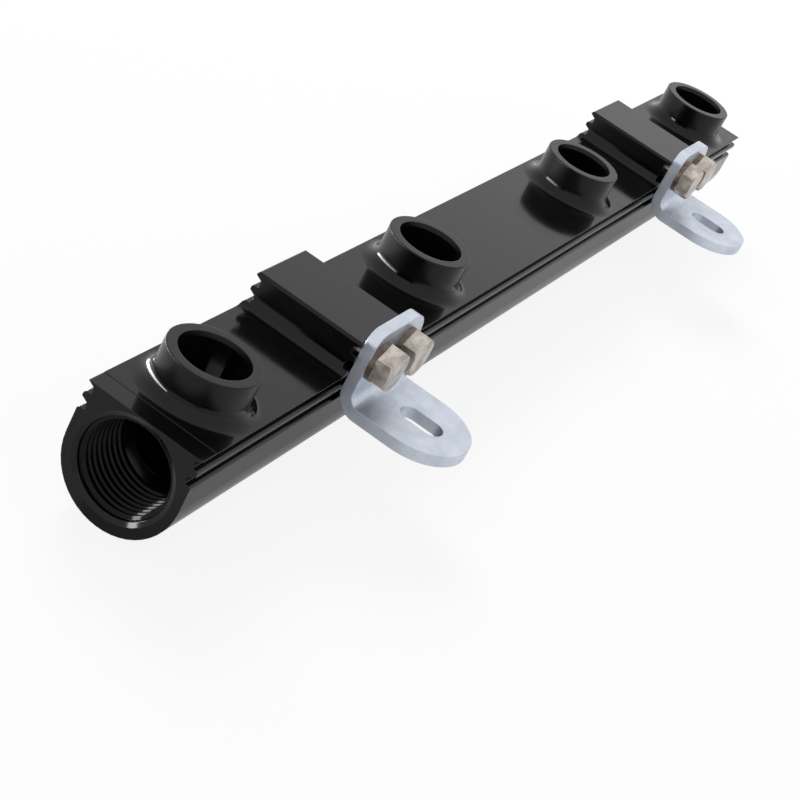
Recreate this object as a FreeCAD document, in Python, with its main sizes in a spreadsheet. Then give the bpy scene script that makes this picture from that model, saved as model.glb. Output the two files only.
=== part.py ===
import FreeCAD, Part

import os

import Sketcher

# A fuel rail for a four-cylinder engine. One black anodised extrusion is milled so that four
# round injector bosses and two toothed blocks stand on its flat top. A gallery runs along it,
# open at a threaded port in each end. Two bent sheet brackets are bolted to the blocks.
# The origin is the middle of the near port's mouth, +X runs along the gallery and +Z points
# towards the injectors.

SIZES = {
    # rail
    "rail_width": 24.6,
    "end_margin": 16.9,
    "gallery_depth": 10.8,
    "gallery_radius": 8.0,
    "round_drop": 0.4,
    "end_land_length": 4.7,
    "end_land_step": 0.08,
    # teeth along both sides
    "top_tooth_height": 0.7,
    "tooth_pitch": 3.3,
    "tooth_depth": 1.45,
    "tooth_shelf_drop": 0.66,
    "tooth_root_bulge": 0.18,
    "tooth_face_height": 0.49,
    "tooth_crest_radius": 0.65,
    # ports
    "port_thread_radius": 9.53,
    "port_thread_length": 15.0,
    "port_mouth_width": 0.97,
    "port_mouth_depth": 0.5,
    "port_shoulder_length": 1.5,
    # injector bosses
    "boss_count": 4,
    "boss_pitch": 88.0,
    "boss_radius": 9.2,
    "boss_height": 8.1,
    "boss_foot_radius": 2.9,
    "boss_foot_margin": 0.05,
    "boss_edge": 0.25,
    "injector_bore_radius": 6.75,
    "injector_lead_width": 0.3,
    "injector_lead_depth": 1.0,
    # blocks
    "block_offset": 1.0,
    "block_length": 18.9,
    "block_height": 7.2,
    "block_corner_radius": 0.5,
    "block_foot_radius": 2.9,
    "block_edge": 0.5,
    # brackets
    "bracket_width": 22.2,
    "bracket_offset": 2.2,
    "bracket_thickness": 2.5,
    "bend_radius": 2.5,
    "flange_rise": 3.0,
    "flange_near_corner": 3.0,
    "flange_far_corner": 6.5,
    "tab_drop": 5.3,
    "tab_reach": 24.5,
    "slot_reach": 14.0,
    "slot_width": 5.5,
    "slot_length": 9.5,
    # bracket bolts and their spring washers
    "bolt_radius": 2.5,
    "bolt_spacing": 10.8,
    "bolt_offset": 0.4,
    "bolt_level": 3.3,
    "bolt_grip": 9.0,
    "bolt_hole_gap": 0.3,
    "bolt_thread_gap": 0.1,
    "bolt_tap_relief": 1.5,
    "hex_across_flats": 8.0,
    "hex_height": 3.5,
    "hex_edge": 0.45,
    "washer_thickness": 1.2,
    "washer_outer_radius": 4.2,
    "washer_bore_gap": 0.15,
    "washer_split": 0.8,
}

# Lengths and places that follow from the sizes
HALF_WIDTH = "Sizes.rail_width / 2"
RAIL_LENGTH = "(2 * Sizes.end_margin + (Sizes.boss_count - 1) * Sizes.boss_pitch)"
TOP = "Sizes.gallery_depth"
LAND = "(Sizes.gallery_depth - Sizes.end_land_step)"
BOSS_TOP = "(Sizes.gallery_depth + Sizes.boss_height)"
BLOCK_TOP = "(Sizes.gallery_depth + Sizes.block_height)"
CUT_TOP = "(Sizes.gallery_depth + Sizes.block_height + Sizes.boss_height)"
BOSS_FOOT = (
    "min(Sizes.boss_foot_radius;"
    " Sizes.rail_width / 2 - Sizes.boss_radius - Sizes.boss_foot_margin;"
    " Sizes.end_margin - Sizes.end_land_length - Sizes.boss_radius - Sizes.boss_foot_margin)"
)
BLOCK_MIDDLE = "(Sizes.end_margin + Sizes.boss_pitch / 2 + Sizes.block_offset)"
BLOCK_SPACING = "(2 * Sizes.boss_pitch)"
BLOCK_COUNT = 2
TOOTH_COUNT = 4
FULL_TURN = 360
LEAST_CUT = 1e-3
SIDE = f"(-({HALF_WIDTH}))"
BOLT_LEVEL = f"({BLOCK_TOP} - Sizes.bolt_level)"

# A quarter turn that points a fastener's head away from the rail's side
OUTWARDS = FreeCAD.Rotation(FreeCAD.Vector(1, 0, 0), 90)


def make_sheet(doc):
    """Writes every driving size into a sheet, one row each."""
    sheet = doc.addObject("Spreadsheet::Sheet", "Sizes")
    for row, (name, size) in enumerate(SIZES.items(), start=1):
        sheet.set(f"A{row}", name)
        sheet.set(f"B{row}", str(size))
        sheet.setAlias(f"B{row}", name)
    doc.recompute()
    return sheet


def make_body(doc, name):
    """Starts the body of one sub-part."""
    body = doc.addObject("PartDesign::Body", name)
    body.Label = name
    return body


def place(body, x, y, z, turn=None):
    """Ties the body's place to the sizes, after an optional turn."""
    if turn:
        body.Placement.Rotation = turn
    for axis, expression in zip("xyz", (x, y, z)):
        body.setExpression(f"Placement.Base.{axis}", expression)


def origin_part(body, role):
    """One of the body's own origin planes or axes."""
    return [item for item in body.Origin.OriginFeatures if item.Role == role][0]


def arc_between(start, end, radius, turn):
    """The arc of a given radius that turns left or right on its way from start to end."""
    chord = end - start
    middle = (start + end) / 2
    rise = max(radius ** 2 - (chord.Length / 2) ** 2, 0.0) ** 0.5
    side = FreeCAD.Vector(-chord.y, chord.x, 0).normalize()
    if turn == "right":
        side = -side
    centre = middle + side * rise
    crown = centre - side * radius
    return Part.Arc(start, crown, end)


def draw(sketch, outline):
    """Draws one closed outline. Each corner is (x, y), or (x, y, radius, turn) where the edge
    that arrives there is an arc. Every value is an expression that stays tied to the sizes."""
    count = len(outline)
    places = [
        FreeCAD.Vector(float(sketch.evalExpression(corner[0])), float(sketch.evalExpression(corner[1])), 0)
        for corner in outline
    ]
    edges = []
    for index, corner in enumerate(outline):
        start = places[index - 1]
        end = places[index]
        if len(corner) == 2:
            edges.append((sketch.addGeometry(Part.LineSegment(start, end), False), 1, 2))
            continue
        radius = float(sketch.evalExpression(corner[2]))
        added = sketch.addGeometry(arc_between(start, end, radius, corner[3]), False)
        forward = corner[3] == "left"
        edges.append((added, 1 if forward else 2, 2 if forward else 1))
    for index in range(count):
        edge, _, tail = edges[index]
        following, head, _ = edges[(index + 1) % count]
        sketch.addConstraint(Sketcher.Constraint("Coincident", edge, tail, following, head))
    for index, corner in enumerate(outline):
        edge, _, tail = edges[index]
        pin(sketch, "DistanceX", -2, edge, tail, corner[0], places[index].x)
        pin(sketch, "DistanceY", -1, edge, tail, corner[1], places[index].y)
        if len(corner) > 2:
            radius = float(sketch.evalExpression(corner[2]))
            added = sketch.addConstraint(Sketcher.Constraint("Radius", edge, radius))
            sketch.setExpression(f"Constraints[{added}]", corner[2])


def pin(sketch, kind, axis, edge, end, expression, value):
    """Holds one coordinate of an edge's end at an expression, or on the axis if it is 0."""
    if expression == "0":
        sketch.addConstraint(Sketcher.Constraint("PointOnObject", edge, end, axis))
        return
    added = sketch.addConstraint(Sketcher.Constraint(kind, -1, 1, edge, end, value))
    sketch.setExpression(f"Constraints[{added}]", expression)


def add_circle(sketch, x, y, radius):
    """Draws a circle whose middle and radius stay tied to the sizes."""
    middle = FreeCAD.Vector(float(sketch.evalExpression(x)), float(sketch.evalExpression(y)), 0)
    size = float(sketch.evalExpression(radius))
    edge = sketch.addGeometry(Part.Circle(middle, FreeCAD.Vector(0, 0, 1), size), False)
    pin(sketch, "DistanceX", -2, edge, 3, x, middle.x)
    pin(sketch, "DistanceY", -1, edge, 3, y, middle.y)
    added = sketch.addConstraint(Sketcher.Constraint("Radius", edge, size))
    sketch.setExpression(f"Constraints[{added}]", radius)


def start_sketch(body, name, plane, offset=None):
    """Starts a sketch on one of the body's origin planes, moved off it where an offset is given."""
    sketch = body.newObject("Sketcher::SketchObject", name)
    sketch.AttachmentSupport = [(origin_part(body, plane), "")]
    sketch.MapMode = "FlatFace"
    if offset:
        sketch.setExpression("AttachmentOffset.Base.z", offset)
    body.Document.recompute()
    return sketch


def pad(body, name, sketch, length, middle=False, backwards=False):
    """Raises a sketch by a length."""
    feature = body.newObject("PartDesign::Pad", name)
    feature.Profile = sketch
    feature.SideType = "Symmetric" if middle else "One side"
    feature.Reversed = backwards
    feature.setExpression("Length", length)
    body.Document.recompute()
    return feature


def pocket(body, name, sketch, length, middle=False, backwards=False):
    """Cuts a sketch away over a length, and checks that something was cut."""
    before = body.Shape.Volume
    feature = body.newObject("PartDesign::Pocket", name)
    feature.Profile = sketch
    feature.SideType = "Symmetric" if middle else "One side"
    feature.Reversed = backwards
    feature.setExpression("Length", length)
    body.Document.recompute()
    check_cut(body, name, before)
    return feature


def revolve(body, kind, name, sketch, axis):
    """Adds or cuts a full turn of a sketch about one of the sketch's own axes."""
    before = body.Shape.Volume if kind == "Groove" else None
    feature = body.newObject(f"PartDesign::{kind}", name)
    feature.Profile = sketch
    feature.ReferenceAxis = (sketch, [axis])
    feature.Angle = FULL_TURN
    body.Document.recompute()
    if kind == "Groove":
        check_cut(body, name, before)
    return feature


def check_cut(body, name, before):
    """Stops where a cut has taken nothing away."""
    if body.Shape.Volume > before - LEAST_CUT:
        raise RuntimeError(f"{body.Label}: {name} cuts nothing")


def tooth_tip(number):
    """Height of the lower edge of one tooth, counted down from the block's top."""
    return f"({BLOCK_TOP} - Sizes.top_tooth_height - {number} * Sizes.tooth_pitch)"


def side_grooves():
    """The undercut grooves of the right-hand side, from the top down: a shelf that runs in
    under each tooth, a hollow root, and the next tooth's flat ledge, round crest and face."""
    crest = "Sizes.tooth_crest_radius"
    bulge = "Sizes.tooth_root_bulge"
    root_edge = f"({HALF_WIDTH} - Sizes.tooth_depth + {bulge})"
    half_root = f"((Sizes.tooth_pitch - Sizes.tooth_shelf_drop - Sizes.tooth_face_height - {crest}) / 2)"
    root_radius = f"({half_root} ^ 2 + {bulge} ^ 2) / (2 * {bulge})"
    corners = []
    for number in range(TOOTH_COUNT):
        tip = tooth_tip(number)
        face_top = f"({tooth_tip(number + 1)} + Sizes.tooth_face_height)"
        ledge = f"({face_top} + {crest})"
        corners.append((HALF_WIDTH, tip))
        corners.append((root_edge, f"{tip} - Sizes.tooth_shelf_drop"))
        corners.append((root_edge, ledge, root_radius, "left"))
        corners.append((f"{HALF_WIDTH} - {crest}", ledge))
        corners.append((HALF_WIDTH, face_top, crest, "right"))
    return corners


def mirrored(corners):
    """The same corners on the left-hand side, in the opposite order."""
    flipped = [(f"-({corner[0]})", corner[1]) for corner in reversed(corners)]
    for index, corner in enumerate(corners):
        if len(corner) > 2:
            after = len(corners) - index
            flipped[after] = (*flipped[after], corner[2], corner[3])
    return flipped


def add_extrusion(body):
    """The full section of the extrusion, as high as the blocks: toothed sides, flat lower sides
    and a round underside."""
    corner = "Sizes.block_corner_radius"
    round_middle = "-Sizes.round_drop"
    bottom = f"(-Sizes.round_drop - {HALF_WIDTH})"
    grooves = side_grooves()
    section = start_sketch(body, "RailSection", "YZ_Plane")
    draw(section, [
        (f"{HALF_WIDTH} - {corner}", BLOCK_TOP),
        (HALF_WIDTH, f"{BLOCK_TOP} - {corner}", corner, "right"),
        *grooves,
        (HALF_WIDTH, round_middle),
        ("0", bottom, HALF_WIDTH, "right"),
        (f"-({HALF_WIDTH})", round_middle, HALF_WIDTH, "right"),
        *mirrored(grooves),
        (f"-({HALF_WIDTH})", f"{BLOCK_TOP} - {corner}"),
        (f"-({HALF_WIDTH}) + {corner}", BLOCK_TOP, corner, "right"),
    ])
    pad(body, "RailExtrusion", section, RAIL_LENGTH)


def block_x(number):
    """Middle of one block along the rail."""
    return f"({BLOCK_MIDDLE} + {number} * {BLOCK_SPACING})"


def block_ends(number):
    """The two ends of one block along the rail."""
    return f"({block_x(number)} - Sizes.block_length / 2)", f"({block_x(number)} + Sizes.block_length / 2)"


def up_block(face):
    """Up one face of a block: its round foot, its broken top edge and clear above the block."""
    foot = "Sizes.block_foot_radius"
    edge = "Sizes.block_edge"
    return [
        (f"{face} - {foot}", TOP),
        (face, f"{TOP} + {foot}", foot, "left"),
        (face, f"{BLOCK_TOP} - {edge}"),
        (f"{face} + {edge}", BLOCK_TOP),
        (f"{face} + {edge}", CUT_TOP),
    ]


def down_block(face):
    """Down the opposite face of a block, from above it to the end of its round foot."""
    foot = "Sizes.block_foot_radius"
    edge = "Sizes.block_edge"
    return [
        (f"{face} - {edge}", CUT_TOP),
        (f"{face} - {edge}", BLOCK_TOP),
        (face, f"{BLOCK_TOP} - {edge}"),
        (face, f"{TOP} + {foot}"),
        (f"{face} + {foot}", TOP, foot, "left"),
    ]


def mill_top(body):
    """Mills the top down between the blocks, and one shallow step lower along the very ends."""
    margin = "Sizes.end_land_length"
    far_land = f"({RAIL_LENGTH} - Sizes.end_land_length)"
    clearing = start_sketch(body, "TopClearing", "XZ_Plane")
    near_end, _ = block_ends(0)
    _, far_start = block_ends(BLOCK_COUNT - 1)
    draw(clearing, [
        (f"-{margin}", LAND),
        ("Sizes.end_land_length", LAND),
        ("Sizes.end_land_length", TOP),
        *up_block(near_end),
        (f"-{margin}", CUT_TOP),
    ])
    for number in range(BLOCK_COUNT - 1):
        _, start = block_ends(number)
        end, _ = block_ends(number + 1)
        draw(clearing, [*down_block(start), *up_block(end)])
    draw(clearing, [
        *down_block(far_start),
        (far_land, TOP),
        (far_land, LAND),
        (f"{RAIL_LENGTH} + {margin}", LAND),
        (f"{RAIL_LENGTH} + {margin}", CUT_TOP),
    ])
    pocket(body, "MilledTop", clearing, "2 * Sizes.rail_width", middle=True)


def add_bosses(body):
    """Turns the first injector boss with its concave foot and its bore down into the gallery,
    and repeats both along the rail."""
    axis = "Sizes.end_margin"
    foot = BOSS_FOOT
    edge = "Sizes.boss_edge"
    wall = f"({axis} + Sizes.boss_radius)"
    bore = f"({axis} + Sizes.injector_bore_radius)"
    boss_profile = start_sketch(body, "BossProfile", "XZ_Plane")
    draw(boss_profile, [
        (axis, TOP),
        (f"{wall} + {foot}", TOP),
        (wall, f"{TOP} + {foot}", foot, "right"),
        (wall, f"{BOSS_TOP} - {edge}"),
        (f"{wall} - {edge}", BOSS_TOP, edge, "left"),
        (axis, BOSS_TOP),
    ])
    boss = about_vertical(body, "Revolution", "Boss", boss_profile, axis)
    bore_profile = start_sketch(body, "InjectorBoreProfile", "XZ_Plane")
    draw(bore_profile, [
        (axis, "0"),
        (bore, "0"),
        (bore, f"{BOSS_TOP} - Sizes.injector_lead_depth"),
        (f"{bore} + Sizes.injector_lead_width", BOSS_TOP),
        (f"{bore} + Sizes.injector_lead_width", CUT_TOP),
        (axis, CUT_TOP),
    ])
    bore_cut = about_vertical(body, "Groove", "InjectorBore", bore_profile, axis)
    pattern = body.newObject("PartDesign::LinearPattern", "BossRow")
    pattern.Originals = [boss, bore_cut]
    pattern.Direction = (origin_part(body, "X_Axis"), [""])
    pattern.Mode = "Spacing"
    pattern.setExpression("Offset", "Sizes.boss_pitch")
    pattern.setExpression("Occurrences", "Sizes.boss_count")
    body.Tip = pattern
    body.Document.recompute()


def about_vertical(body, kind, name, sketch, x):
    """Turns a profile about an upright construction line at x in its own sketch."""
    place_x = float(sketch.evalExpression(x))
    line = Part.LineSegment(FreeCAD.Vector(place_x, 0, 0), FreeCAD.Vector(place_x, 1, 0))
    edge = sketch.addGeometry(line, True)
    sketch.addConstraint(Sketcher.Constraint("Vertical", edge))
    pin(sketch, "DistanceX", -2, edge, 1, x, place_x)
    pin(sketch, "DistanceY", -1, edge, 1, "0", 0)
    body.Document.recompute()
    return revolve(body, kind, name, sketch, "Axis0")


def bore_gallery(body):
    """Bores the gallery from end to end, with a threaded port and a bevelled mouth at each end.
    The profile is half of the gallery, drawn above its own axis."""
    thread = "Sizes.port_thread_radius"
    gallery = "Sizes.gallery_radius"
    mouth = f"({thread} + Sizes.port_mouth_width)"
    mouth_end = "Sizes.port_mouth_depth"
    thread_end = "Sizes.port_thread_length"
    shoulder_end = "(Sizes.port_thread_length + Sizes.port_shoulder_length)"
    profile = start_sketch(body, "GalleryProfile", "XZ_Plane")
    near = [("0", mouth), (mouth_end, thread), (thread_end, thread), (shoulder_end, gallery)]
    far = [(RAIL_LENGTH if x == "0" else f"{RAIL_LENGTH} - {x}", radius) for x, radius in reversed(near)]
    draw(profile, [("0", "0"), *near, *far, (RAIL_LENGTH, "0")])
    revolve(body, "Groove", "Gallery", profile, "H_Axis")


def tap_blocks(body):
    """Bores the bracket bolts' holes into the brackets' side of each block."""
    holes = start_sketch(body, "BoltHoles", "XZ_Plane", HALF_WIDTH)
    for number in range(BLOCK_COUNT):
        for side in (-1, 1):
            add_circle(holes, bolt_x(number, side), BOLT_LEVEL, "Sizes.bolt_radius")
    pocket(body, "BoltHoleCut", holes, "Sizes.bolt_grip + Sizes.bolt_tap_relief")


def make_rail(doc):
    """The rail itself, one piece of metal."""
    body = make_body(doc, "rail_body")
    add_extrusion(body)
    mill_top(body)
    add_bosses(body)
    bore_gallery(body)
    tap_blocks(body)
    return body


def bracket_x(number):
    """Middle of one bracket along the rail."""
    return f"({block_x(number)} + Sizes.bracket_offset)"


def bolt_x(number, side):
    """Axis of one bolt along the rail."""
    return f"({block_x(number)} + Sizes.bolt_offset + {side} * Sizes.bolt_spacing / 2)"


def make_bracket(doc, name, number):
    """An L of bent sheet: an upright flange against the block's side and a flat tab that sticks
    out with a round end and one slot. Its own origin is in the rail's side plane, at the
    height of the tab's upper face, with the tab towards -Y."""
    body = make_body(doc, name)
    sheet = "Sizes.bracket_thickness"
    inner = "Sizes.bend_radius"
    outer = f"({inner} + {sheet})"
    tip = "(-Sizes.tab_reach)"
    half = "(Sizes.bracket_width / 2)"
    top = "(Sizes.tab_drop + Sizes.block_height + Sizes.flange_rise)"
    section = start_sketch(body, f"{name}_section", "YZ_Plane")
    draw(section, [
        ("0", top),
        ("0", inner),
        (f"-{outer}", f"-{sheet}", outer, "right"),
        (tip, f"-{sheet}"),
        (tip, "0"),
        (f"-{outer}", "0"),
        (f"-{sheet}", inner, inner, "left"),
        (f"-{sheet}", top),
    ])
    pad(body, f"{name}_bent_sheet", section, "Sizes.bracket_width", middle=True)
    round_tab(body, name, half, tip)
    round_flange(body, name, half, top)
    cut_slot(body, name)
    holes = start_sketch(body, f"{name}_hole_sketch", "XZ_Plane")
    for side in (-1, 1):
        x = f"Sizes.bolt_offset - Sizes.bracket_offset + {side} * Sizes.bolt_spacing / 2"
        z = "Sizes.tab_drop + Sizes.block_height - Sizes.bolt_level"
        add_circle(holes, x, z, "Sizes.bolt_radius + Sizes.bolt_hole_gap")
    pocket(body, f"{name}_holes", holes, "3 * Sizes.bracket_thickness", middle=True)
    place(body, bracket_x(number), SIDE, f"{TOP} - Sizes.tab_drop")
    return body


def round_tab(body, name, half, tip):
    """Cuts the tab's end to a half circle as wide as the bracket."""
    waste = start_sketch(body, f"{name}_tab_waste", "XY_Plane")
    shoulder = f"({tip} + {half})"
    beyond = f"({tip} - {half})"
    draw(waste, [
        (f"-2 * {half}", shoulder),
        (f"-{half}", shoulder),
        ("0", tip, half, "left"),
        (half, shoulder, half, "left"),
        (f"2 * {half}", shoulder),
        (f"2 * {half}", beyond),
        (f"-2 * {half}", beyond),
    ])
    pocket(body, f"{name}_tab_end", waste, "3 * Sizes.bracket_thickness", middle=True)


def round_flange(body, name, half, top):
    """Rounds the flange's two upper corners."""
    near = "Sizes.flange_near_corner"
    far = "Sizes.flange_far_corner"
    above = f"({top} + {far})"
    waste = start_sketch(body, f"{name}_flange_waste", "XZ_Plane")
    draw(waste, [
        (f"-2 * {half}", f"{top} - {near}"),
        (f"-{half}", f"{top} - {near}"),
        (f"-{half} + {near}", top, near, "right"),
        (f"{half} - {far}", top),
        (half, f"{top} - {far}", far, "right"),
        (f"2 * {half}", f"{top} - {far}"),
        (f"2 * {half}", above),
        (f"-2 * {half}", above),
    ])
    pocket(body, f"{name}_flange_corners", waste, "3 * Sizes.bracket_thickness", middle=True)


def cut_slot(body, name):
    """Cuts the slot through the tab, long way outwards."""
    radius = "(Sizes.slot_width / 2)"
    straight = "((Sizes.slot_length - Sizes.slot_width) / 2)"
    middle = "(-Sizes.slot_reach)"
    slot = start_sketch(body, f"{name}_slot_sketch", "XY_Plane")
    draw(slot, [
        (radius, f"{middle} - {straight}", radius, "left"),
        (radius, f"{middle} + {straight}"),
        ("0", f"{middle} + {straight} + {radius}", radius, "left"),
        (f"-{radius}", f"{middle} + {straight}", radius, "left"),
        (f"-{radius}", f"{middle} - {straight}"),
        ("0", f"{middle} - {straight} - {radius}", radius, "left"),
    ])
    pocket(body, f"{name}_slot", slot, "3 * Sizes.bracket_thickness", middle=True)


def make_bolt(doc, name, number, side):
    """A hex-head bolt. Its own origin is in the middle of the head's underside, with the head
    towards +Z."""
    body = make_body(doc, name)
    flat = "(Sizes.hex_across_flats / 2)"
    point = "(Sizes.hex_across_flats / sqrt(3))"
    edge = "Sizes.hex_edge"
    shank = "(Sizes.bolt_radius - Sizes.bolt_thread_gap)"
    shank_length = "(Sizes.washer_thickness + Sizes.bracket_thickness + Sizes.bolt_grip)"
    head_sketch = start_sketch(body, f"{name}_hexagon", "XY_Plane")
    draw(head_sketch, [
        (flat, f"-{point} / 2"),
        (flat, f"{point} / 2"),
        ("0", point),
        (f"-{flat}", f"{point} / 2"),
        (f"-{flat}", f"-{point} / 2"),
        ("0", f"-{point}"),
    ])
    pad(body, f"{name}_head", head_sketch, "Sizes.hex_height")
    shank_sketch = start_sketch(body, f"{name}_shank_circle", "XY_Plane")
    add_circle(shank_sketch, "0", "0", shank)
    pad(body, f"{name}_shank", shank_sketch, shank_length, backwards=True)
    bevel = start_sketch(body, f"{name}_bevel", "XZ_Plane")
    draw(bevel, [
        (flat, "Sizes.hex_height"),
        (f"{flat} + 2 * {point}", f"Sizes.hex_height - {edge} * 2 * {point} / ({point} - {flat})"),
        (f"{flat} + 2 * {point}", "2 * Sizes.hex_height"),
        (flat, "2 * Sizes.hex_height"),
    ])
    revolve(body, "Groove", f"{name}_head_bevel", bevel, "V_Axis")
    seat_y = f"{SIDE} - Sizes.bracket_thickness - Sizes.washer_thickness"
    place(body, bolt_x(number, side), seat_y, BOLT_LEVEL, OUTWARDS)
    return body


def make_washer(doc, name, number, side):
    """A spring washer, pressed flat, with its split slanted across the ring."""
    body = make_body(doc, name)
    outer = "Sizes.washer_outer_radius"
    ring = start_sketch(body, f"{name}_ring", "XY_Plane")
    add_circle(ring, "0", "0", outer)
    add_circle(ring, "0", "0", "Sizes.bolt_radius + Sizes.washer_bore_gap")
    pad(body, f"{name}_plate", ring, "Sizes.washer_thickness")
    lean = "Sizes.washer_thickness / 4"
    half_split = "Sizes.washer_split / 2"
    split = start_sketch(body, f"{name}_split_sketch", "YZ_Plane")
    draw(split, [
        (f"-{half_split} - {lean}", "0"),
        (f"{half_split} - {lean}", "0"),
        (f"{half_split} + {lean}", "Sizes.washer_thickness"),
        (f"-{half_split} + {lean}", "Sizes.washer_thickness"),
    ])
    pocket(body, f"{name}_split", split, f"2 * {outer}", backwards=True)
    seat_y = f"{SIDE} - Sizes.bracket_thickness"
    place(body, bolt_x(number, side), seat_y, BOLT_LEVEL, OUTWARDS)
    return body


def check(doc, parts):
    """Stops where an object has failed or a sub-part is no valid solid."""
    for item in doc.Objects:
        if "Invalid" in item.State or "Error" in item.State:
            raise RuntimeError(f"{item.Label}: {item.State}")
    for part in parts:
        shape = part.Shape
        if shape.isNull() or not shape.isValid() or len(shape.Solids) != 1:
            raise RuntimeError(f"{part.Label}: not one valid solid")
        box = shape.BoundBox
        size = f"{box.XLength:.2f} x {box.YLength:.2f} x {box.ZLength:.2f} mm"
        print(f"{part.Label}: {size}, {shape.Volume:.1f} mm3")


def main():
    doc = FreeCAD.newDocument("FuelRail")
    make_sheet(doc)
    parts = [make_rail(doc)]
    for number, end in enumerate(("near", "far")):
        parts.append(make_bracket(doc, f"{end}_bracket", number))
        for side, place_name in ((-1, "front"), (1, "rear")):
            parts.append(make_bolt(doc, f"{end}_bracket_bolt_{place_name}", number, side))
            parts.append(make_washer(doc, f"{end}_bracket_washer_{place_name}", number, side))
    doc.recompute()
    check(doc, parts)
    os.makedirs("parts", exist_ok=True)
    for part in parts:
        part.Shape.exportStep(f"parts/{part.Label}.step")


main()
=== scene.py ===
import math
import bmesh
import bpy
from bpy.props import FloatProperty, FloatVectorProperty, IntProperty, PointerProperty
from mathutils import Matrix, Vector


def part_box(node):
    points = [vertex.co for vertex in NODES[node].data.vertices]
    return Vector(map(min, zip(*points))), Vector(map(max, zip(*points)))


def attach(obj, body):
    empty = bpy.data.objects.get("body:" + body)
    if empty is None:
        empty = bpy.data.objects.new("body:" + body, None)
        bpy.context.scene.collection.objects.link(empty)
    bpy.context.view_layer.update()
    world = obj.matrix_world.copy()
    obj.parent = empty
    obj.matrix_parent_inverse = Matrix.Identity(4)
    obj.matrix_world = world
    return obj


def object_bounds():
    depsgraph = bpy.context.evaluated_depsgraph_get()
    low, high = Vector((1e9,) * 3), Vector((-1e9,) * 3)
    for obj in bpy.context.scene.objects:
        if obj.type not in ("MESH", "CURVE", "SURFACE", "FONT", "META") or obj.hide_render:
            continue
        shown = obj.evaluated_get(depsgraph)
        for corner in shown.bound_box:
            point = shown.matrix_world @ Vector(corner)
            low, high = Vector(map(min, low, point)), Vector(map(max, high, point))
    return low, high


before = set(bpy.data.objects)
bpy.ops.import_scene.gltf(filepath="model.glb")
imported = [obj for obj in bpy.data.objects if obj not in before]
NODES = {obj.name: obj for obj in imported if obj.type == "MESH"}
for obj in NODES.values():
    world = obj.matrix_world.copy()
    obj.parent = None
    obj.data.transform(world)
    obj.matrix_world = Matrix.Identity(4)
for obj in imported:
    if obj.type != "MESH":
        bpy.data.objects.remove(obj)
CAD_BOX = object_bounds()
RAIL_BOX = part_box("rail_body")

WHITE = (1.0, 1.0, 1.0, 1.0)
# Places of the sockets on a Mix node that mixes colours: its two inputs and its result.
COLOUR_A, COLOUR_B, MIXED = 6, 7, 2
# Upward part of the normal: the rail's top has more than the first, a wall less than the second.
TOP_FACING, WALL_FACING = 0.95, 0.7
# Cosine between the rounded and the true normal where a corner starts to show and shows fully.
CORNER_STARTS, CORNER_SHOWS = 0.995, 0.9
# The walls turn duller from this far below the top of the round feet to this far above it.
BELOW_FOOT_TOP, ABOVE_FOOT_TOP = 0.001, 0.0008
# Edges sharper than this are shaded as edges.
CRISP_ANGLE = math.radians(30)
# Corners are compared to a tenth of a micrometre, in metres, when they are put in order.
PLACE_DIGITS = 7

bl_info = {
    "name": "Fuel rail",
    "version": (1, 0, 0),
    "blender": (4, 5, 0),
    "location": "3D Viewport > Sidebar > Fuel rail",
    "description": "Gives the packed fuel rail its finishes, port threads and studio",
    "category": "Object",
}


def shade(code):
    """The linear colour of an sRGB hex value."""
    parts = [int(code[i:i + 2], 16) / 255 for i in (0, 2, 4)]
    return tuple(p / 12.92 if p <= 0.04045 else ((p + 0.055) / 1.055) ** 2.4 for p in parts)


def opaque(colour):
    """A colour with the fourth value that a colour socket holds."""
    return (*colour, 1.0)


def per(millimetres):
    """The scale at which one unit of a pattern covers this many millimetres."""
    return 1000.0 / millimetres


def add(tree, kind, values=None, links=None, **settings):
    """Adds a node with its settings, its socket values and the sockets that feed it. A socket
    goes by its name, or by its place where a node has several of one name."""
    node = tree.nodes.new(kind)
    for name, value in settings.items():
        setattr(node, name, value)
    for name, value in (values or {}).items():
        node.inputs[name].default_value = value
    for name, (source, output) in (links or {}).items():
        tree.links.new(source.outputs[output], node.inputs[name])
    return node


def start_material(name):
    """A new material with only its shader, and the tree that holds it."""
    material = bpy.data.materials.new(name)
    material.use_nodes = True
    tree = material.node_tree
    tree.nodes.clear()
    finish = add(tree, "ShaderNodeBsdfPrincipled")
    add(tree, "ShaderNodeOutputMaterial", links={"Surface": (finish, "BSDF")})
    return material, tree, finish


def join(tree, node, links):
    """Feeds the sockets of a node that is already there."""
    for name, (source, output) in links.items():
        tree.links.new(source.outputs[output], node.inputs[name])


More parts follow.
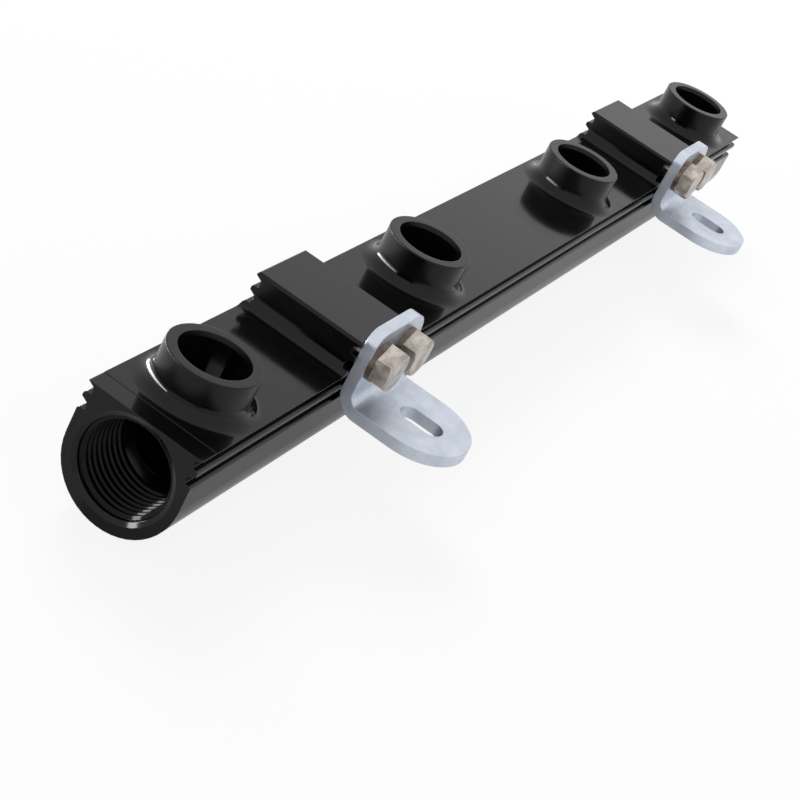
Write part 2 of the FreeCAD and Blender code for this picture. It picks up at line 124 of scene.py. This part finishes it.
def black_anodised(name, look, shine, roughness):
    """Hard black anodised aluminium, extruded and then milled.

    The dyed oxide is near black under a clear glossy surface, so what the eye sees is mostly the
    pale room in it: grey tops, lighter sides at a low angle and dark mirror images of the bosses.
    Its etched pores take some of the shine from faces that are seen squarely. Faint die lines run
    along the extrusion, and fainter arcs from the face mill cross the top."""
    material, tree, finish = start_material(name)
    finish.inputs["Metallic"].default_value = 0.0
    finish.inputs["IOR"].default_value = 1.5
    finish.inputs["Specular IOR Level"].default_value = shine
    place = add(tree, "ShaderNodeTexCoord")
    surface = add(tree, "ShaderNodeNewGeometry")
    along = add(tree, "ShaderNodeSeparateXYZ", links={"Vector": (place, "Object")})
    facing = add(tree, "ShaderNodeSeparateXYZ", links={"Vector": (surface, "Normal")})

    # Die lines are about 0.1 mm apart on the real rail and are drawn at 0.35 mm so that they show.
    stretched = add(tree, "ShaderNodeMapping", {"Scale": (per(70), per(0.35), per(0.35))},
                    {"Vector": (place, "Object")})
    die_lines = add(tree, "ShaderNodeTexNoise", {"Scale": 1.0, "Detail": 2.0, "Roughness": 0.6},
                    {"Vector": (stretched, "Vector")})

    # The face mill leaves arcs of its own radius, one each feed step along the rail. They swing
    # by this much either way of the middle of the relief.
    arc_swing, middle = 0.12, 0.5
    across = add(tree, "ShaderNodeMath", links={0: (along, "Y"), 1: (along, "Y")},
                 operation="MULTIPLY")
    arc = add(tree, "ShaderNodeMath", {1: 0.5 / look.cutter_radius},
              {0: (across, "Value"), 2: (along, "X")}, operation="MULTIPLY_ADD")
    step = add(tree, "ShaderNodeMath", {1: 2 * math.pi / look.feed_step}, {0: (arc, "Value")},
               operation="MULTIPLY")
    cutter_arcs = add(tree, "ShaderNodeMath", links={0: (step, "Value")}, operation="SINE")
    faint_arcs = add(tree, "ShaderNodeMath", {1: arc_swing, 2: middle},
                     {0: (cutter_arcs, "Value")}, operation="MULTIPLY_ADD")
    on_top = add(tree, "ShaderNodeMath", {1: TOP_FACING}, {0: (facing, "Z")},
                 operation="GREATER_THAN")
    relief = add(tree, "ShaderNodeMix", links={"Factor": (on_top, "Value"),
                                               "A": (die_lines, "Fac"),
                                               "B": (faint_arcs, "Value")}, data_type="FLOAT")

    # The etch before anodising leaves cloudy patches some 9 mm across.
    clouds = add(tree, "ShaderNodeTexNoise", {"Scale": per(9), "Detail": 3.0, "Roughness": 0.55},
                 {"Vector": (place, "Object")})
    gloss = add(tree, "ShaderNodeMapRange", {"From Min": 0.3, "From Max": 0.7,
                                             "To Min": roughness * 0.75, "To Max": roughness * 1.3},
                {"Value": (clouds, "Fac")})

    # The cutter's flank leaves the bosses' walls and the blocks' faces duller than its end leaves
    # the top and the round feet.
    raised = add(tree, "ShaderNodeMapRange", {"From Min": look.foot_top - BELOW_FOOT_TOP,
                                              "From Max": look.foot_top + ABOVE_FOOT_TOP},
                 {"Value": (along, "Z")}, interpolation_type="SMOOTHSTEP")
    upright = add(tree, "ShaderNodeMath", {1: WALL_FACING}, {0: (facing, "Z")},
                  operation="LESS_THAN")
    flank = add(tree, "ShaderNodeMath", links={0: (raised, "Result"), 1: (upright, "Value")},
                operation="MULTIPLY")
    dulled = add(tree, "ShaderNodeMath", {1: look.flank_dulling},
                 {0: (flank, "Value"), 2: (gloss, "Result")}, operation="MULTIPLY_ADD")

    # Machined corners are broken by a fraction of a millimetre. They are painted a lighter colour,
    # partly thinner dye on the corners and partly a painted edge highlight.
    broken = add(tree, "ShaderNodeBevel", {"Radius": look.edge_break}, samples=6)
    turned = add(tree, "ShaderNodeVectorMath",
                 links={0: (broken, "Normal"), 1: (surface, "Normal")}, operation="DOT_PRODUCT")
    painted_corner_highlight = add(tree, "ShaderNodeMapRange", {"From Min": CORNER_STARTS, "From Max": CORNER_SHOWS},
               {"Value": (turned, "Value")})
    body = add(tree, "ShaderNodeMix",
               {COLOUR_A: opaque(look.dye), COLOUR_B: opaque(look.dye_cloud)},
               {"Factor": (clouds, "Fac")}, data_type="RGBA")
    # dyed holds the dye with the lighter corner colour mixed in: thinner dye and a painted corner
    # highlight.
    dyed = add(tree, "ShaderNodeMix", {COLOUR_B: opaque(look.corner_dye_and_highlight)},
               {"Factor": (painted_corner_highlight, "Result"), COLOUR_A: (body, MIXED)}, data_type="RGBA")
    skin = add(tree, "ShaderNodeBump", {"Strength": 1.0, "Distance": look.relief},
               {"Height": (relief, "Result"), "Normal": (broken, "Normal")})
    join(tree, finish, {"Base Color": (dyed, MIXED), "Roughness": (dulled, "Value"),
                        "Normal": (skin, "Normal")})
    return material


def plated(name, colour, cloud, metal, roughness, grain, patch, edge_break):
    """Bright plating on steel: metal that shows the pale room softly, with cloudy patches of
    passivation, and a grain pressed in by the rolls or the heading die. The grain and the patch
    are in millimetres."""
    grain_depth = 0.000004
    material, tree, finish = start_material(name)
    finish.inputs["Metallic"].default_value = metal
    place = add(tree, "ShaderNodeTexCoord")
    clouds = add(tree, "ShaderNodeTexNoise", {"Scale": per(patch), "Detail": 4.0, "Roughness": 0.6},
                 {"Vector": (place, "Object")})
    tone = add(tree, "ShaderNodeMapRange", {"From Min": 0.35, "From Max": 0.65},
               {"Value": (clouds, "Fac")})
    body = add(tree, "ShaderNodeMix", {COLOUR_A: opaque(colour), COLOUR_B: opaque(cloud)},
               {"Factor": (tone, "Result")}, data_type="RGBA")
    stretched = add(tree, "ShaderNodeMapping", {"Scale": tuple(per(size) for size in grain)},
                    {"Vector": (place, "Object")})
    rolled = add(tree, "ShaderNodeTexNoise", {"Scale": 1.0, "Detail": 3.0, "Roughness": 0.6},
                 {"Vector": (stretched, "Vector")})
    gloss = add(tree, "ShaderNodeMapRange", {"From Min": 0.3, "From Max": 0.7,
                                             "To Min": roughness * 0.8, "To Max": roughness * 1.25},
                {"Value": (rolled, "Fac")})
    broken = add(tree, "ShaderNodeBevel", {"Radius": edge_break}, samples=4)
    skin = add(tree, "ShaderNodeBump", {"Strength": 1.0, "Distance": grain_depth},
               {"Height": (rolled, "Fac"), "Normal": (broken, "Normal")})
    join(tree, finish, {"Base Color": (body, MIXED), "Roughness": (gloss, "Result"),
                        "Normal": (skin, "Normal")})
    return material


def watched(tree):
    """The Light Path node, and a value that is 1 where the eye looks, straight or through clear
    pieces."""
    path = add(tree, "ShaderNodeLightPath")
    eye = add(tree, "ShaderNodeMath",
              links={0: (path, "Is Camera Ray"), 1: (path, "Is Transmission Ray")},
              operation="MAXIMUM")
    return path, eye


def give(material, *names):
    """Puts one material on CAD nodes, in the slots that they already have."""
    for name in names:
        if name not in NODES:
            raise RuntimeError(f"the packed rail has no piece named {name}")
        for slot in NODES[name].material_slots:
            slot.material = material


def new_piece(name, shape, material):
    """Turns a bmesh into a smooth object with crisp edges, at the origin. Its corners and faces
    are put in order by place, because slicing leaves them in another order each run."""
    bmesh.ops.recalc_face_normals(shape, faces=shape.faces)
    corners = sorted(shape.verts,
                     key=lambda corner: [round(part, PLACE_DIGITS) for part in corner.co])
    number = {corner: i for i, corner in enumerate(corners)}
    rings = []
    for face in shape.faces:
        ring = [number[corner] for corner in face.verts]
        first = ring.index(min(ring))
        rings.append(ring[first:] + ring[:first])
    mesh = bpy.data.meshes.new(name)
    mesh.from_pydata([corner.co for corner in corners], [], sorted(rings))
    shape.free()
    mesh.shade_smooth()
    mesh.set_sharp_from_angle(angle=CRISP_ANGLE)
    mesh.materials.append(material)
    piece = bpy.data.objects.new(name, mesh)
    bpy.context.scene.collection.objects.link(piece)
    return piece


COLOUR = {"subtype": "COLOR", "min": 0, "max": 1}
SHARE = {"subtype": "FACTOR", "min": 0, "max": 1}
LENGTH = {"unit": "LENGTH", "subtype": "DISTANCE", "precision": 6}


class FuelRailFinish(bpy.types.PropertyGroup):
    """The black anodised finish of the rail."""
    dye: FloatVectorProperty(name="Dye", default=shade("060607"), **COLOUR,
                             description="Colour of the dyed oxide")
    dye_cloud: FloatVectorProperty(name="Dye, thin", default=shade("0C0C0E"), **COLOUR,
                                   description="Colour where the oxide is thinner")
    # Lighter colour for the broken corners: thinner dye there, and a painted edge highlight.
    corner_dye_and_highlight: FloatVectorProperty(name="Dye on edges", default=shade("2C2C2E"), **COLOUR,
                                  description="Colour along broken corners")
    shine: FloatProperty(name="Shine", default=0.25, **SHARE,
                         description="Shine of faces that are seen squarely")
    roughness: FloatProperty(name="Roughness", default=0.11, **SHARE,
                             description="Roughness of the anodised surface")
    # Lower than the rail's shine: duller tapped flanks, and painted shade that darkens the threads.
    thread_shine: FloatProperty(name="Thread shine", default=0.14, **SHARE,
                                description="Shine of the threads in the ports")
    thread_roughness: FloatProperty(name="Thread roughness", default=0.1, **SHARE,
                                    description="Roughness of the threads in the ports")
    flank_dulling: FloatProperty(name="Flank dulling", default=0.15, **SHARE,
                                 description="Roughness added on walls that the mill left")
    foot_top: FloatProperty(name="Foot top", default=0.0137, **LENGTH,
                            description="Height where the bosses' polished feet end")
    relief: FloatProperty(name="Relief", default=0.0000012, min=0, **LENGTH,
                          description="Height of the die lines and cutter arcs")
    cutter_radius: FloatProperty(name="Cutter radius", default=0.025, min=0.005, **LENGTH,
                                 description="Radius of the face mill")
    feed_step: FloatProperty(name="Feed step", default=0.0006, min=0.0001, **LENGTH,
                             description="Distance between cutter arcs")
    edge_break: FloatProperty(name="Edge break", default=0.0002, min=0, **LENGTH,
                              description="Radius of the broken corners")


class FuelRailThread(bpy.types.PropertyGroup):
    """The straight thread in each end port."""
    pitch: FloatProperty(name="Pitch", default=0.0015875, min=0.0002, **LENGTH,
                         description="Distance between turns, sixteen to the inch")
    wall_radius: FloatProperty(name="Wall radius", default=0.00953, min=0.001, **LENGTH,
                               description="Radius of the bored port wall")
    crest_radius: FloatProperty(name="Crest radius", default=0.00875, min=0.001, **LENGTH,
                                description="Radius inside the thread crests")
    crest_width: FloatProperty(name="Crest width", default=0.00046, min=0, **LENGTH,
                               description="Flat width of each crest")
    first: FloatProperty(name="First turn", default=0.0012, min=0, **LENGTH,
                         description="Depth from the mouth to the first turn")
    last: FloatProperty(name="Last turn", default=0.0142, min=0.001, **LENGTH,
                        description="Depth from the mouth to the last turn")
    steps: IntProperty(name="Steps", default=72, min=24, max=200,
                       description="Flat steps in each turn")


class FuelRailPlating(bpy.types.PropertyGroup):
    """The plated brackets, bolts and washers."""
    sheet: FloatVectorProperty(name="Bracket zinc", default=shade("D5DCE7"), **COLOUR,
                               description="Colour of the bracket plating")
    sheet_cloud: FloatVectorProperty(name="Bracket zinc, dull", default=shade("C2CAD6"), **COLOUR,
                                     description="Colour of its duller patches")
    bolt: FloatVectorProperty(name="Bolt plating", default=shade("D6CEC7"), **COLOUR,
                              description="Colour of the bolts")
    bolt_cloud: FloatVectorProperty(name="Bolt plating, dull", default=shade("9F958C"), **COLOUR,
                                    description="Colour of their duller patches")
    washer: FloatVectorProperty(name="Washer steel", default=shade("84776C"), **COLOUR,
                                description="Colour of the spring washers")
    washer_cloud: FloatVectorProperty(name="Washer steel, dark", default=shade("5E534A"), **COLOUR,
                                      description="Colour of their darker patches")


class FuelRailStage(bpy.types.PropertyGroup):
    """The floor, the soft light and the camera."""
    floor: FloatVectorProperty(name="Floor", default=shade("F4F4F4"), **COLOUR,
                               description="Colour of the floor")
    floor_radius: FloatProperty(name="Floor radius", default=4.0, min=0.5, **LENGTH,
                                description="Radius of the round floor")
    shadow: FloatProperty(name="Shadow", default=0.12, **SHARE,
                          description="Share of the floor that takes light and shadow")
    gloss_shadow: FloatProperty(name="Shadow in gloss", default=0.72, **SHARE,
                                description="The same share as metal and gloss show it")
    room: FloatProperty(name="Room light", default=0.5, min=0, max=1,
                        description="Strength of the light from all round")
    lamps: FloatProperty(name="Lamp light", default=1.0, min=0,
                         description="Strength of the soft lamps")
    camera_place: FloatVectorProperty(name="Camera place", size=3, unit="LENGTH",
                                      default=(-0.28861, -0.10944, 0.20010),
                                      subtype="TRANSLATION", precision=5,
                                      description="Where the camera stands")
    camera_turn: FloatVectorProperty(name="Camera turn", size=3, subtype="EULER", precision=5,
                                     default=[math.radians(angle) for angle in
                                              (58.8378, -24.8187, -61.6129)],
                                     description="How the camera is turned")
    lens: FloatProperty(name="Lens", default=97.22, min=10,
                        description="Focal length in millimetres")


class FUELRAIL_OT_finish_rail(bpy.types.Operator):
    """Gives the rail body its black anodised finish"""
    bl_idname = "fuel_rail.finish_rail"
    bl_label = "Finish the rail"

    def execute(self, context):
        look = context.scene.fuel_rail_finish
        milled = black_anodised("Black anodised aluminium", look, look.shine, look.roughness)
        give(milled, "rail_body")
        return {"FINISHED"}


class FUELRAIL_OT_cut_threads(bpy.types.Operator):
    """Cuts the thread in the near and the far port"""
    bl_idname = "fuel_rail.cut_threads"
    bl_label = "Cut the port threads"

    def execute(self, context):
        size = context.scene.fuel_rail_thread
        look = context.scene.fuel_rail_finish
        # Tapped flanks shine less than milled metal, and the lower shine here also darkens the
        # threads as painted shade.
        tapped = black_anodised("Black anodised thread", look, look.thread_shine,
                                look.thread_roughness)
        for name in ("near_port_thread", "far_port_thread"):
            shape = self.ridge(size)
            if name == "far_port_thread":
                half_turn = Matrix.Rotation(math.pi, 3, "Z")
                bmesh.ops.rotate(shape, verts=shape.verts, cent=(0, 0, 0), matrix=half_turn)
                bmesh.ops.translate(shape, verts=shape.verts, vec=(RAIL_BOX[1].x, 0, 0))
            piece = new_piece(name, shape, tapped)
            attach(piece, "root")
        return {"FINISHED"}

    def ridge(self, size):
        """The ridge of the near port's thread, sunk a little into the wall. It runs one turn past
        its first and its last, and is then sliced square there."""
        sunk, flank_angle, tolerance = 0.00002, math.radians(30), 1e-7
        shape = bmesh.new()
        root = size.wall_radius + sunk
        half_crest = size.crest_width / 2
        half_root = half_crest + (root - size.crest_radius) * math.tan(flank_angle)
        start = size.first - size.pitch
        corners = [shape.verts.new((start + along, 0, radius)) for along, radius in (
            (-half_root, root), (-half_crest, size.crest_radius),
            (half_crest, size.crest_radius), (half_root, root))]
        profile = [shape.edges.new((corners[i], corners[(i + 1) % 4])) for i in range(4)]
        turns = math.ceil((size.last - size.first) / size.pitch) + 2
        bmesh.ops.spin(shape, geom=corners + profile, cent=(0, 0, 0), axis=(1, 0, 0),
                       dvec=(size.pitch / size.steps, 0, 0), angle=turns * 2 * math.pi,
                       steps=turns * size.steps, use_merge=False, use_duplicate=False)
        for depth, away in ((size.first, -1), (size.last, 1)):
            everything = shape.verts[:] + shape.edges[:] + shape.faces[:]
            bmesh.ops.bisect_plane(shape, geom=everything, dist=tolerance,
                                   plane_co=(depth, 0, 0), plane_no=(away, 0, 0), clear_outer=True)
        bmesh.ops.holes_fill(shape, edges=[e for e in shape.edges if e.is_boundary], sides=0)
        return shape


class FUELRAIL_OT_finish_brackets(bpy.types.Operator):
    """Gives both brackets their bright zinc plating"""
    bl_idname = "fuel_rail.finish_brackets"
    bl_label = "Finish the brackets"

    def execute(self, context):
        look = context.scene.fuel_rail_plating
        # Rolled sheet, so its grain is long in one direction. It is drawn coarser than the real
        # one so that it shows.
        zinc = plated("Bright zinc-plated sheet", look.sheet, look.sheet_cloud, metal=0.85,
                      roughness=0.36, grain=(6, 0.4, 0.6), patch=5, edge_break=0.0002)
        give(zinc, "near_bracket", "far_bracket")
        return {"FINISHED"}


class FUELRAIL_OT_finish_bolts(bpy.types.Operator):
    """Gives the bolts and their spring washers their plating"""
    bl_idname = "fuel_rail.finish_bolts"
    bl_label = "Finish the bolts and washers"

    def execute(self, context):
        look = context.scene.fuel_rail_plating
        places = [f"{end}_bracket_{{}}_{side}" for end in ("near", "far")
                  for side in ("front", "rear")]
        bolt = plated("Warm zinc-plated steel", look.bolt, look.bolt_cloud, metal=0.7,
                      roughness=0.36, grain=(0.5, 0.5, 0.5), patch=2.5, edge_break=0.00015)
        washer = plated("Oiled spring steel", look.washer, look.washer_cloud, metal=0.8,
                        roughness=0.42, grain=(0.3, 0.3, 0.3), patch=1.5, edge_break=0.0001)
        give(bolt, *(place.format("bolt") for place in places))
        give(washer, *(place.format("washer") for place in places))
        return {"FINISHED"}


class FUELRAIL_OT_build_stage(bpy.types.Operator):
    """Lays the pale floor and sets the soft light and the camera"""
    bl_idname = "fuel_rail.build_stage"
    bl_label = "Build the stage"

    def execute(self, context):
        stage = context.scene.fuel_rail_stage
        self.lay_floor(stage)
        self.light_room(stage)
        middle = (CAD_BOX[0] + CAD_BOX[1]) / 2
        # The two soft lamps light only what scatters: the dye, the plating and the floor's paint.
        # The low strip shows only in gloss, as the thin bright lines on round feet and threads.
        self.hang_lamp("Key lamp", place=Vector((0.6, 0.6, 0.7)), aim=middle, width=0.5,
                       height=0.4, power=8.0 * stage.lamps)
        self.hang_lamp("Fill lamp", place=Vector((0.1, -1.0, 0.8)), aim=middle, width=0.8,
                       height=0.6, power=0.6 * stage.lamps)
        self.hang_lamp("Low strip lamp", place=Vector((0.0, 0.11, 0.001)),
                       aim=Vector((0.0, 0.0, 0.001)), width=0.26, height=0.018,
                       power=0.3 * stage.lamps, for_gloss=True)
        self.set_camera(stage)
        context.scene.view_settings.view_transform = "Standard"
        return {"FINISHED"}

    def lay_floor(self, stage):
        """A round floor just under the rail. The eye, clear pieces and gloss see it as near white
        with the rail's shadow, and gloss sees more of that shadow."""
        shape = bmesh.new()
        bmesh.ops.create_circle(shape, cap_ends=True, segments=96, radius=stage.floor_radius)
        bmesh.ops.translate(shape, verts=shape.verts, vec=(CAD_BOX[1].x / 2, 0, CAD_BOX[0].z))
        material = bpy.data.materials.new("Pale studio floor")
        material.use_nodes = True
        tree = material.node_tree
        tree.nodes.clear()
        paint = add(tree, "ShaderNodeBsdfDiffuse", {"Color": opaque(stage.floor)})
        white = add(tree, "ShaderNodeEmission", {"Color": WHITE, "Strength": 1.0})
        path, eye = watched(tree)
        seen = add(tree, "ShaderNodeMath", {1: 1 - stage.shadow}, {0: (eye, "Value")},
                   operation="MULTIPLY")
        mirrored = add(tree, "ShaderNodeMath", {1: 1 - stage.gloss_shadow},
                       {0: (path, "Is Glossy Ray")}, operation="MULTIPLY")
        share = add(tree, "ShaderNodeMath", links={0: (seen, "Value"), 1: (mirrored, "Value")},
                    operation="MAXIMUM")
        mixed = add(tree, "ShaderNodeMixShader", links={"Fac": (share, "Value"),
                                                        1: (paint, "BSDF"),
                                                        2: (white, "Emission")})
        add(tree, "ShaderNodeOutputMaterial", links={"Surface": (mixed, "Shader")})
        new_piece("floor", shape, material)

    def light_room(self, stage):
        """Even light from all round, which the eye, clear pieces and gloss see as white."""
        world = bpy.data.worlds.new("Soft room")
        bpy.context.scene.world = world
        world.use_nodes = True
        tree = world.node_tree
        tree.nodes.clear()
        path, eye = watched(tree)
        seen = add(tree, "ShaderNodeMath", links={0: (eye, "Value"), 1: (path, "Is Glossy Ray")},
                   operation="MAXIMUM")
        level = add(tree, "ShaderNodeMapRange", {"To Min": stage.room, "To Max": 1.0},
                    {"Value": (seen, "Value")})
        room = add(tree, "ShaderNodeBackground", {"Color": WHITE},
                   {"Strength": (level, "Result")})
        add(tree, "ShaderNodeOutputWorld", links={"Surface": (room, "Background")})

    def hang_lamp(self, name, place, aim, width, height, power, for_gloss=False):
        """A soft rectangular lamp out of sight, turned to face a place. It lights only what
        scatters light, or shows only in gloss."""
        lamp = bpy.data.lights.new(name, "AREA")
        lamp.shape = "RECTANGLE"
        lamp.size = width
        lamp.size_y = height
        lamp.energy = power
        holder = bpy.data.objects.new(name, lamp)
        holder.location = place
        holder.rotation_euler = (aim - place).to_track_quat("-Z", "Y").to_euler()
        holder.visible_camera = False
        holder.visible_glossy = for_gloss
        holder.visible_diffuse = not for_gloss
        holder.visible_transmission = False
        bpy.context.scene.collection.objects.link(holder)

    def set_camera(self, stage):
        """The camera that took the picture, solved from the rail's own edges."""
        camera = bpy.data.cameras.new("Camera")
        camera.lens = stage.lens
        camera.sensor_width = 36
        camera.clip_start = 0.01
        holder = bpy.data.objects.new("Camera", camera)
        holder.location = stage.camera_place
        holder.rotation_euler = stage.camera_turn
        bpy.context.scene.collection.objects.link(holder)
        bpy.context.scene.camera = holder


class FUELRAIL_PT_panel(bpy.types.Panel):
    """Lists the steps and sizes of the fuel rail"""
    bl_idname = "FUELRAIL_PT_panel"
    bl_label = "Fuel rail"
    bl_space_type = "VIEW_3D"
    bl_region_type = "UI"
    bl_category = "Fuel rail"

    def draw(self, context):
        layout = self.layout
        for step in STEPS:
            layout.operator(step.bl_idname)
        for name, group in SETTINGS.items():
            box = layout.box()
            box.label(text=group.__doc__)
            for entry in group.__annotations__:
                box.prop(getattr(context.scene, name), entry)


STEPS = (
    FUELRAIL_OT_finish_rail,
    FUELRAIL_OT_cut_threads,
    FUELRAIL_OT_finish_brackets,
    FUELRAIL_OT_finish_bolts,
    FUELRAIL_OT_build_stage,
)
SETTINGS = {
    "fuel_rail_finish": FuelRailFinish,
    "fuel_rail_thread": FuelRailThread,
    "fuel_rail_plating": FuelRailPlating,
    "fuel_rail_stage": FuelRailStage,
}


def register():
    for group in (*SETTINGS.values(), *STEPS, FUELRAIL_PT_panel):
        bpy.utils.register_class(group)
    for name, group in SETTINGS.items():
        setattr(bpy.types.Scene, name, PointerProperty(type=group))


def unregister():
    for name in SETTINGS:
        delattr(bpy.types.Scene, name)
    for group in (FUELRAIL_PT_panel, *reversed(STEPS), *reversed(SETTINGS.values())):
        bpy.utils.unregister_class(group)


def main():
    register()
    bpy.ops.fuel_rail.finish_rail()
    bpy.ops.fuel_rail.cut_threads()
    bpy.ops.fuel_rail.finish_brackets()
    bpy.ops.fuel_rail.finish_bolts()
    bpy.ops.fuel_rail.build_stage()


if __name__ == "__main__":
    main()
